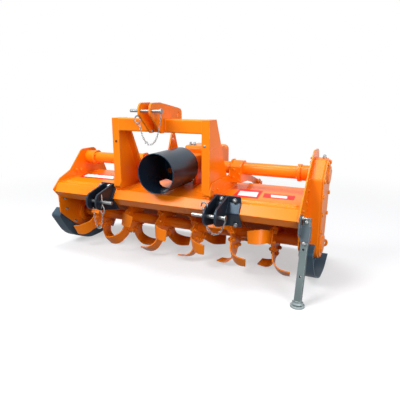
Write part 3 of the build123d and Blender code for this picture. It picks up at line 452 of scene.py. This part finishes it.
plate_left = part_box("side_plate_left")
plate_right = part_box("side_plate_right")
outer_left, inner_left = plate_left[0].x, plate_left[1].x
inner_right, outer_right = plate_right[0].x, plate_right[1].x
zinc_yz = [(-0.224, 0.400), (-0.214, 0.314), (-0.129, 0.194)]
spots = [((inner_left, y, z), rightward) for y, z in zinc_yz]
set_out(bolt, "plate_bolts_left", spots, zinc, "frame")
spots = [((outer_left, y, z), leftward) for y, z in zinc_yz[:2]]
set_out(nut, "plate_nuts_left", spots, zinc, "frame")
painted_yz = [(-0.075, 0.598), (-0.023, 0.594)]
spots = [((inner_left, y, z), rightward) for y, z in painted_yz]
set_out(bolt, "plate_painted_bolts_left", spots, orange, "frame")
case_edge_yz = [(-0.104, 0.677), (-0.102, 0.612), (-0.158, 0.553), (-0.226, 0.515)]
upper_yz = [(-0.009, 0.794), (-0.017, 0.770)]
spots = [((outer_right, y, z), rightward) for y, z in case_edge_yz]
spots += [((inner_right, y, z), leftward) for y, z in upper_yz]
set_out(small_bolt, "plate_painted_bolts_right", spots, orange, "frame")

# ---------------------------------------------------------------- rotor bearing
# The closed cast housing outside the left plate carries the rotor's left journal.
# It is sand cast, painted with the machine, and held by a bolt at each corner of its flange.
HOUSING_FLANGE_T = 0.016
CORNER = 0.066
cast_orange = finish(
    "orange_casting",
    colour=(0.93, 0.220, 0.005),
    shade=(0.87, 0.190, 0.004),
    edge_wear_and_highlight=(1.0, 0.38, 0.05),
    roughness=0.34,
    grain=160.0,
    grain_depth=0.0005,
    specular=0.2,
)
clad(cast_orange, "bearing_housing")
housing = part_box("bearing_housing")
flange_face = outer_left - HOUSING_FLANGE_T
housing_z = (housing[0].z + housing[1].z) / 2
spots = [((flange_face, a * CORNER, housing_z + b * CORNER), leftward) for a in (-1, 1) for b in (-1, 1)]
set_out(bolt, "bearing_bolts", spots, orange, "frame")

# ---------------------------------------------------------------- cross tubes
# Steel tubes join the gearbox to the side plates, enamelled with the frame.
# The outer end of each is a flange, held to the neck on its side plate by six small bolts.
FLANGE_BOLTS = 6
FLANGE_BOLT_R = 0.0505
FLANGE_T = 0.010
clad(orange, "cross_tube_left", "cross_tube_right", "tube_neck_left", "tube_neck_right")
tube_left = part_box("cross_tube_left")
tube_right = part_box("cross_tube_right")
tube_y = (tube_left[0].y + tube_left[1].y) / 2
tube_z = (tube_left[0].z + tube_left[1].z) / 2
spots = []
for face_x, outward in ((tube_left[0].x + FLANGE_T, rightward), (tube_right[1].x - FLANGE_T, leftward)):
    for i in range(FLANGE_BOLTS):
        turn = 2 * pi * (i + 0.5) / FLANGE_BOLTS
        y = tube_y + FLANGE_BOLT_R * cos(turn)
        z = tube_z + FLANGE_BOLT_R * sin(turn)
        spots.append(((face_x, y, z), outward))
flange_bolt = shape_bolt("flange_bolt", across=0.0085, height=0.0050)
set_out(flange_bolt, "tube_flange_bolts", spots, orange, "frame")

# ---------------------------------------------------------------- chain case
# The oil-tight case of the side drive and its outer cover are castings, painted with the machine.
# A zinc filler plug with a domed breather stands on the case's top.
FILLER_X = 0.962
FILLER_Y = 0.070
clad(cast_orange, "chain_case", "chain_case_cover")
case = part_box("chain_case")


def shape_plug(name, radius, height):
    """A round plug with a shoulder and a domed cap, standing on the origin."""
    collar = disc(20, radius, height * 0.3)
    bpy.ops.mesh.inset(thickness=radius * 0.3, depth=height * 0.05)
    bpy.ops.mesh.extrude_region_move(TRANSFORM_OT_translate={"value": (0, 0, height * 0.35)})
    bpy.ops.mesh.inset(thickness=radius * 0.12, depth=height * 0.12)
    bpy.ops.mesh.inset(thickness=radius * 0.2, depth=height * 0.06)
    collar.name = name
    return place_in_mesh(collar)


plug = shape_plug("plug", radius=0.013, height=0.026)
set_out(plug, "chain_case_plug", [((FILLER_X, FILLER_Y, case[1].z), (0, 0, 1))], zinc, "frame")

# ---------------------------------------------------------------- gearbox
# Iron castings in the machine's orange, rougher than its sheet metal, with a lifting lug of plate.
# Two zinc plugs stand on the rear case, and the cover on its back is held by a ring of bolts.
# The input shaft is ground steel.
clad(cast_orange, "gearbox", "gear_case")
clad(orange, "lifting_lug")
gear_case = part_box("gear_case")
spots = [((x, y, gear_case[1].z), (0, 0, 1)) for x, y in ((-0.006, 0.150), (0.024, 0.152))]
set_out(plug, "gearbox_plugs", spots, zinc, "frame")
cover_xz = [
    (-0.085, 0.640), (-0.085, 0.725), (0.000, 0.775), (0.110, 0.790),
    (0.205, 0.780), (0.205, 0.700), (0.130, 0.645), (0.020, 0.630),
]
spots = [((x, gear_case[1].y, z), (0, 1, 0)) for x, z in cover_xz]
set_out(bolt, "gearbox_cover_bolts", spots, orange, "frame")
bright = finish(
    "bright_steel",
    colour=(0.62, 0.62, 0.64),
    shade=(0.50, 0.50, 0.53),
    edge_wear_and_highlight=(0.8, 0.8, 0.8),
    roughness=0.22,
    grain=700.0,
    grain_depth=0.0002,
    metallic=1.0,
)
clad(bright, "input_shaft")

# ---------------------------------------------------------------- drive shaft shield
# A thick tube of moulded black plastic guards the input shaft and the joint that couples to it.
# It is slightly glossy, and a zinc screw in its side holds it to the gearbox's front.
SCREW_TURN = -42
SCREW_FROM_BACK = 0.016
SCREW_SUNK = 0.001
black_plastic = finish(
    "black_plastic",
    colour=(0.010, 0.018, 0.032),
    shade=(0.007, 0.013, 0.024),
    edge_wear_and_highlight=(0.045, 0.070, 0.10),
    roughness=0.30,
    grain=700.0,
    grain_depth=0.0001,
    specular=0.55,
    tint=(0.38, 0.68, 1.0),
)
clad(black_plastic, "shaft_shield")
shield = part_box("shaft_shield")
shield_x = (shield[0].x + shield[1].x) / 2
shield_z = (shield[0].z + shield[1].z) / 2
shield_radius = (shield[1].x - shield[0].x) / 2
screw_out = Vector((cos(radians(SCREW_TURN)), 0, sin(radians(SCREW_TURN))))
screw_place = Vector((shield_x, shield[1].y - SCREW_FROM_BACK, shield_z))
screw_place += screw_out * (shield_radius - SCREW_SUNK)
set_out(small_bolt, "shield_screw", [(screw_place, screw_out)], zinc, "frame")

# ---------------------------------------------------------------- top link pin
# Two plate ears stand over the crossbar, with a zinc-plated pin through both for the tractor's top link.
# A linch pin with a spring ring keeps the pin, tied to its head by a chain of wire links.
# A small zinc bolt stands low on the inner face of one ear.
LINCH_R = 0.0042
RING_WIRE = 0.0040
clad(orange, "top_link_ears")
clad(zinc, "top_link_pin")


def shape_linch_pin(name, shank, ring_r, ring_long, swing=(0, 0)):
    """A linch pin hanging from its head at the origin: the shank points up and the ring hangs below."""
    rod = disc(12, LINCH_R, shank)
    bpy.ops.mesh.inset(thickness=0.0012, depth=0.002)
    bpy.ops.object.mode_set(mode="OBJECT")
    choose(rod, "FACE", lambda face: face.normal.z < -0.9)
    bpy.ops.mesh.inset(thickness=-0.0030)
    bpy.ops.mesh.extrude_region_move(TRANSFORM_OT_translate={"value": (0, 0, -0.007)})
    bpy.ops.mesh.inset(thickness=0.0022, depth=0.002)
    place_in_mesh(rod)
    bpy.ops.object.select_all(action="DESELECT")
    bpy.ops.mesh.primitive_torus_add(
        major_radius=ring_r,
        minor_radius=RING_WIRE,
        major_segments=28,
        minor_segments=8,
        location=(*swing, -0.004 - ring_r * ring_long),
        rotation=(pi / 2, 0, 0),
    )
    ring = bpy.context.object
    bpy.ops.object.transform_apply(location=False, rotation=True, scale=False)
    choose(ring, "VERT", lambda vertex: True)
    bpy.ops.transform.resize(value=(1.0, 1.0, ring_long))
    return join([rod, place_in_mesh(ring)], name)


LINK_WIRE = 0.0018
LINK_END_R = 0.0040
LINK_STRETCH = 0.0044
LINK_PITCH = 2 * (LINK_END_R + LINK_STRETCH) - 2 * LINK_WIRE


def shape_link(name):
    """One long link of wire, lying along x."""
    bpy.ops.object.select_all(action="DESELECT")
    bpy.ops.mesh.primitive_torus_add(
        major_radius=LINK_END_R, minor_radius=LINK_WIRE, major_segments=12, minor_segments=6, location=(0, 0, 0)
    )
    single = bpy.context.object
    for way in (-1, 1):
        choose(single, "VERT", lambda vertex: vertex.co.x * way > 0.00001)
        bpy.ops.transform.translate(value=(way * LINK_STRETCH, 0, 0))
        bpy.ops.object.mode_set(mode="OBJECT")
    single.name = name
    return single


def hang_chain(name, start, end, lowest):
    """Links end to end along a hanging curve from start to end, whose lowest point is at this height."""
    start = Vector(start)
    end = Vector(end)
    span = (end.xy - start.xy).length
    # The curve's tightness is found by halving, until it spans the two ends.
    tight, loose = 0.0005, 2.0
    for _ in range(60):
        bend = (tight + loose) / 2
        reach = bend * (acosh(1 + (start.z - lowest) / bend) + acosh(1 + (end.z - lowest) / bend))
        tight, loose = (bend, loose) if reach < span else (tight, bend)
    fall = bend * acosh(1 + (start.z - lowest) / bend)
    line = []
    for i in range(2001):
        spot = start.lerp(end, i / 2000)
        spot.z = lowest + bend * (cosh((span * i / 2000 - fall) / bend) - 1)
        line.append(spot)
    total = sum((b - a).length for a, b in zip(line, line[1:]))
    count = int(total / LINK_PITCH)
    pitch = total / count
    links = []
    run = 0.0
    wanted = pitch / 2
    for a, b in zip(line, line[1:]):
        run += (b - a).length
        if run >= wanted and len(links) < count:
            roll = Matrix.Rotation(radians(45 + 90 * (len(links) % 2)), 4, "X")
            turn = (b - a).to_track_quat("X", "Z").to_matrix().to_4x4()
            single = link.copy()
            single.data = link.data.copy()
            single.data.transform(Matrix.Translation(b) @ turn @ roll)
            bpy.context.collection.objects.link(single)
            links.append(single)
            wanted += pitch
    settle(join(links, name), zinc, "frame")


link = shape_link("link")
TOP_SWING = Vector((0.014, -0.012, 0))
TOP_LINCH_OUT = 0.008
TOP_LINCH_DROP = 0.026
TOP_RING_DROP = 0.078
EAR_INNER_X = -0.032
top_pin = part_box("top_link_pin")
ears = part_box("top_link_ears")
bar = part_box("crossbar")
top_y = (top_pin[0].y + top_pin[1].y) / 2
top_z = (top_pin[0].z + top_pin[1].z) / 2
linch = shape_linch_pin("linch", shank=0.052, ring_r=0.018, ring_long=1.3, swing=TOP_SWING.xy)
pin_hole = Vector((ears[0].x - TOP_LINCH_OUT, top_y, top_z))
linch_head = pin_hole - Vector((0, 0, TOP_LINCH_DROP))
set_out(linch, "top_linch_pin", [(linch_head, (0, 0, 1))], zinc, "frame")
ring_foot = pin_hole + TOP_SWING - Vector((0, 0, TOP_RING_DROP))
pin_head = (top_pin[1].x - 0.004, top_y, top_z - 0.014)
hang_chain("top_pin_chain", pin_head, ring_foot, lowest=0.880)
spots = [((EAR_INNER_X, bar[0].y - 0.024, bar[0].z + 0.010), rightward)]
set_out(small_bolt, "ear_bolt", spots, zinc, "frame")

# ---------------------------------------------------------------- clamp brackets
# A cheek plate outside each post runs back to the cross tube, and an arm is clamped round the tube there.
# Each clamp's front plate has four small bolts, and each cheek is bolted to its post with three.
clad(orange, "cheek_left", "cheek_right", "rear_arm_left", "rear_arm_right")
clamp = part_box("rear_arm_right")
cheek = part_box("cheek_right")
clamp_xz = [(0.387, 0.682), (0.424, 0.652), (0.385, 0.630), (0.422, 0.612)]
cheek_yz = [(-0.285, 0.590), (-0.214, 0.590), (-0.011, 0.640)]
for side, way in (("left", -1), ("right", 1)):
    spots = [((way * x, clamp[0].y, z), forward) for x, z in clamp_xz]
    set_out(small_bolt, f"clamp_bolts_{side}", spots, orange, "frame")
    spots = [((way * cheek[1].x, y, z), (way, 0, 0)) for y, z in cheek_yz]
    set_out(small_bolt, f"cheek_bolts_{side}", spots, orange, "frame")

# ---------------------------------------------------------------- headstock
# Two folded channel posts and a box crossbar are welded into a frame, in the machine's orange enamel.
# A pale cap closes the hole high on the right post's face, and a rusted bolt fills the left post's.
clad(orange, "post_left", "post_right", "crossbar")
post_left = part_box("post_left")
post_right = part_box("post_right")
cap = shape_plug("cap", radius=0.0085, height=0.008)
set_out(cap, "post_plug", [((0.319, post_right[0].y, 0.868), forward)], zinc, "frame")
rusted = finish(
    "rusted_steel",
    colour=(0.200, 0.045, 0.016),
    shade=(0.140, 0.030, 0.011),
    edge_wear_and_highlight=(0.30, 0.10, 0.04),
    roughness=0.55,
    grain=300.0,
    grain_depth=0.0003,
    specular=0.2,
)
set_out(cap, "post_bolt", [((-0.324, post_left[0].y, 0.871), forward)], rusted, "frame")

# ---------------------------------------------------------------- lower hitch brackets
# Folded and welded plate in black enamel, each held on the beam by three zinc bolts, one of them underneath.
# A zinc-plated pin crosses each bracket for the tractor's lower link, with a linch pin on a chain to keep it.
BRACKET_FACE_Y = -0.294
UNDER_Y = -0.268
UNDER_Z = 0.400
UNDER_PLATE_T = 0.008
black = finish(
    "black_enamel",
    colour=(0.013, 0.019, 0.030),
    shade=(0.009, 0.013, 0.021),
    edge_wear_and_highlight=(0.06, 0.08, 0.105),
    roughness=0.36,
    grain=300.0,
    grain_depth=0.0004,
    specular=0.4,
    tint=(0.6, 0.8, 1.0),
)
clad(black, "lower_bracket_left", "lower_bracket_right")
clad(zinc, "lower_pin_left", "lower_pin_right")
under_out = Vector((0, -0.792, -0.610))
bracket_nut = shape_bolt("bracket_nut", across=0.024, height=0.011, stud=0.006)
for side, face_xz, under_x in (
    ("left", [(-0.490, 0.551), (-0.420, 0.553)], -0.478),
    ("right", [(0.428, 0.551), (0.512, 0.549)], 0.512),
):
    spots = [((x, BRACKET_FACE_Y, z), forward) for x, z in face_xz]
    spots.append((Vector((under_x, UNDER_Y, UNDER_Z)) + under_out * UNDER_PLATE_T, under_out))
    set_out(bracket_nut, f"bracket_bolts_{side}", spots, zinc, "frame")

LINCH_X = 0.374
pin_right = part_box("lower_pin_right")
low_y = (pin_right[0].y + pin_right[1].y) / 2
low_z = (pin_right[0].z + pin_right[1].z) / 2
right_linch = shape_linch_pin("right_linch", shank=0.056, ring_r=0.020, ring_long=1.1)
spots = [((LINCH_X, low_y, low_z + 0.032), (0, 0, -1))]
set_out(right_linch, "lower_linch_pin_right", spots, zinc, "frame")
pin_end = (pin_right[1].x - 0.003, low_y, low_z - 0.016)
hang_chain("lower_pin_chain_right", pin_end, (LINCH_X + 0.003, low_y, low_z - 0.030), lowest=0.368)
left_linch = shape_linch_pin("left_linch", shank=0.070, ring_r=0.014, ring_long=1.9)
spots = [((-LINCH_X, low_y, low_z - 0.024), (0, 0, 1))]
set_out(left_linch, "lower_linch_pin_left", spots, zinc, "frame")
bracket_hole = (-0.450, low_y, low_z - 0.048)
hang_chain("lower_pin_chain_left", bracket_hole, (-LINCH_X - 0.002, low_y, low_z - 0.080), lowest=0.288)

# ---------------------------------------------------------------- skids
# Turned-up wear plates in blue-black enamel slide on the ground at each end and set the working depth.
# Soil dulls and scratches them underneath. The eyes for their depth setting are plate, orange with the frame.
skid_black = finish(
    "skid_enamel",
    colour=(0.045, 0.078, 0.110),
    shade=(0.030, 0.052, 0.076),
    edge_wear_and_highlight=(0.17, 0.22, 0.26),
    roughness=0.42,
    grain=90.0,
    grain_depth=0.0006,
    specular=0.35,
    tint=(0.6, 0.8, 1.0),
)
clad(skid_black, "skid_left", "skid_right")
clad(orange, "skid_eye_left", "skid_eye_right")

# ---------------------------------------------------------------- parking stand
# The leg is galvanised square tube with a brighter zinc foot, and its sleeve is in dark grey enamel.
# A pin through the sleeve sets the leg's height, and is pulled out to move it. The leg's own pin stands above.
# A through bolt holds the sleeve to its plate.
LEAN = radians(17)
FOOT_TOP = 0.034
FOOT_RIM = 0.026
FOOT_Y = -0.400
FOOT_Z = 0.010
LEG_PIN_UP = 0.472
SLEEVE_PIN_UP = 0.350
grey = finish(
    "grey_enamel",
    colour=(0.075, 0.105, 0.125),
    shade=(0.058, 0.082, 0.100),
    edge_wear_and_highlight=(0.22, 0.26, 0.28),
    roughness=0.40,
    grain=300.0,
    grain_depth=0.0006,
)
clad(grey, "stand_sleeve")
galvanised = finish(
    "galvanised_steel",
    colour=(0.135, 0.172, 0.176),
    shade=(0.090, 0.118, 0.122),
    edge_wear_and_highlight=(0.34, 0.38, 0.38),
    roughness=0.46,
    grain=120.0,
    grain_depth=0.0008,
    metallic=0.35,
)
clad(galvanised, "stand_leg")
leg_made = galvanised.node_tree.nodes
leg_links = galvanised.node_tree.links
leg_shader = leg_made["Principled BSDF"]
leg_colour = leg_shader.inputs["Base Color"].links[0].from_socket
leg_place = leg_made.new("ShaderNodeTexCoord")
leg_height = leg_made.new("ShaderNodeSeparateXYZ")
foot_share = leg_made.new("ShaderNodeMapRange")
foot_share.inputs["From Min"].default_value = FOOT_TOP
foot_share.inputs["From Max"].default_value = FOOT_RIM
foot_bright = leg_made.new("ShaderNodeMix")
foot_bright.data_type = "RGBA"
foot_bright.inputs["B"].default_value = (0.36, 0.42, 0.43, 1)
leg_links.new(leg_place.outputs["Object"], leg_height.inputs[0])
leg_links.new(leg_height.outputs["Z"], foot_share.inputs["Value"])
leg_links.new(foot_share.outputs["Result"], foot_bright.inputs["Factor"])
leg_links.new(leg_colour, foot_bright.inputs["A"])
leg_links.new(foot_bright.outputs["Result"], leg_shader.inputs["Base Color"])

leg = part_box("stand_leg")
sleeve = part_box("stand_sleeve")
up_leg = Vector((0, sin(LEAN), cos(LEAN)))
off_leg = Vector((0, -cos(LEAN), sin(LEAN)))
foot = Vector(((leg[0].x + leg[1].x) / 2, FOOT_Y, FOOT_Z))
leg_pin_place = foot + up_leg * LEG_PIN_UP + off_leg * 0.0200
sleeve_pin_place = foot + up_leg * SLEEVE_PIN_UP + off_leg * 0.0205
set_out(bolt, "leg_pin", [(leg_pin_place, off_leg)], zinc, "leg")
set_out(bolt, "sleeve_pin", [(sleeve_pin_place, off_leg)], zinc, "frame")
side_bolt = shape_bolt("side_bolt", across=0.019, height=0.010, stud=0.020)
spots = [((sleeve[0].x + 0.008, -0.290, 0.490), rightward)]
set_out(side_bolt, "stand_plate_bolt", spots, zinc, "frame")

# ---------------------------------------------------------------- rotor
# Scalloped flanges on a tube carry forged, bent blades of both hands, all painted with the machine.
# Two bolts hold each blade: round-shouldered heads on the blade and nuts behind the flange.
FLANGE_COUNT = 6
FLANGE_PITCH = 0.281
FLANGE_HALF = 0.005
BLADES_A_SIDE = 3
BLADE_T = 0.008
BLADE_BOLT_R = 0.105
BLADE_BOLT_TURN = 19
ROTOR_Z = 0.253
STAGGER = 16
blade_turns = {1: -10, -1: 42}
clad(orange, "rotor_tube", "rotor_flanges", "blades_left", "blades_right")


def shape_dome(name, radius, height):
    """A round-headed carriage bolt, crowned, standing on the origin."""
    head = disc(16, radius, height * 0.4)
    for inward, rise in ((0.12, 0.26), (0.22, 0.20), (0.28, 0.14)):
        bpy.ops.mesh.inset(thickness=radius * inward, depth=height * rise)
    head.name = name
    return place_in_mesh(head)


blade_head = shape_dome("blade_head", radius=0.0165, height=0.015)
blade_nut = shape_bolt("blade_nut", across=0.024, height=0.011, stud=0.005)
head_spots = []
nut_spots = []
for i in range(FLANGE_COUNT):
    flange_x = FLANGE_PITCH * (i - (FLANGE_COUNT - 1) / 2)
    for way, first in blade_turns.items():
        for k in range(BLADES_A_SIDE):
            blade_turn = first + STAGGER * (i - FLANGE_COUNT + 1) + 360 / BLADES_A_SIDE * k
            for shift in (-BLADE_BOLT_TURN, BLADE_BOLT_TURN):
                turn = radians(blade_turn + shift)
                y = BLADE_BOLT_R * cos(turn)
                z = ROTOR_Z + BLADE_BOLT_R * sin(turn)
                head_spots.append(((flange_x + way * (FLANGE_HALF + BLADE_T), y, z), (way, 0, 0)))
                nut_spots.append(((flange_x - way * FLANGE_HALF, y, z), (-way, 0, 0)))
set_out(blade_head, "blade_bolts", head_spots, orange, "rotor")
set_out(blade_nut, "blade_nuts", nut_spots, orange, "rotor")

# ---------------------------------------------------------------- levelling board
# A bent orange sheet hangs behind the rotor, on a zinc-plated rod along the hood's back edge.
# The slotted quadrants on its back are clamped by the arms' bolts.
clad(orange, "levelling_board", "quadrants")
clad(zinc, "hinge_pin")

# ---------------------------------------------------------------- welds
# Painted fillet welds run where the cheeks, posts and side plates meet the deck.
# Shorter ones hold the crossbar, the ears and the lifting lug.
WELD_R = 0.0045
THIN_WELD_R = 0.0035
RIPPLE = 0.007


def weld(start, end, radius=WELD_R):
    """A rippled bead from start to end."""
    start = Vector(start)
    end = Vector(end)
    length = (end - start).length
    bpy.ops.object.select_all(action="DESELECT")
    bpy.ops.mesh.primitive_cylinder_add(vertices=8, radius=radius, depth=length, location=(0, 0, 0))
    bead = bpy.context.object
    steps = 2 * max(3, int(length / RIPPLE))
    step = length / steps
    choose(bead, "EDGE", lambda edge: abs(edge.verts[0].co.z - edge.verts[1].co.z) > length / 2)
    bpy.ops.mesh.subdivide(number_cuts=steps - 1)
    bpy.ops.object.mode_set(mode="OBJECT")
    choose(bead, "VERT", lambda vertex: round((vertex.co.z + length / 2) / step) % 2 == 0)
    bpy.ops.transform.resize(value=(0.78, 0.78, 1.0))
    bpy.ops.object.mode_set(mode="OBJECT")
    turn = (end - start).to_track_quat("Z", "Y").to_matrix().to_4x4()
    bead.data.transform(Matrix.Translation((start + end) / 2) @ turn)
    bead.matrix_world = Matrix.Identity(4)
    return bead


def deck_weld(x, front_y, back_y, lift=0.0):
    """A bead along the deck, from front to back."""
    return weld((x, front_y, deck_height(front_y) + lift), (x, back_y, deck_height(back_y) + lift))


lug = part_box("lifting_lug")
beads = []
for way in (-1, 1):
    beads.append(deck_weld(way * cheek[1].x, -0.270, 0.145))
    beads.append(deck_weld(way * 0.300, -0.280, 0.000))
    bar_end = way * bar[1].x
    beads.append(weld((bar_end, bar[0].y, bar[0].z), (bar_end, bar[1].y, bar[0].z), THIN_WELD_R))
    for ear_x in (-0.026 * way, 0.050 * way):
        beads.append(weld((ear_x, bar[0].y, bar[0].z + 0.006), (ear_x, bar[0].y, bar[1].z), THIN_WELD_R))
beads.append(weld((lug[0].x, lug[0].y, lug[0].z), (lug[0].x, lug[1].y, lug[0].z)))
for plate_x in (inner_left, inner_right):
    beads.append(deck_weld(plate_x, -0.270, 0.150, lift=0.002))
settle(join(beads, "frame_welds"), orange, "frame")

# ---------------------------------------------------------------- end of the work
# The single bolts, nuts, plugs, linch pins and the chain link that were copied are taken away.
for master in (
    bolt, nut, bracket_nut, cap, side_bolt, small_bolt, blade_head, blade_nut,
    flange_bolt, plug, linch, right_linch, left_linch, link,
):
    bpy.data.objects.remove(master)
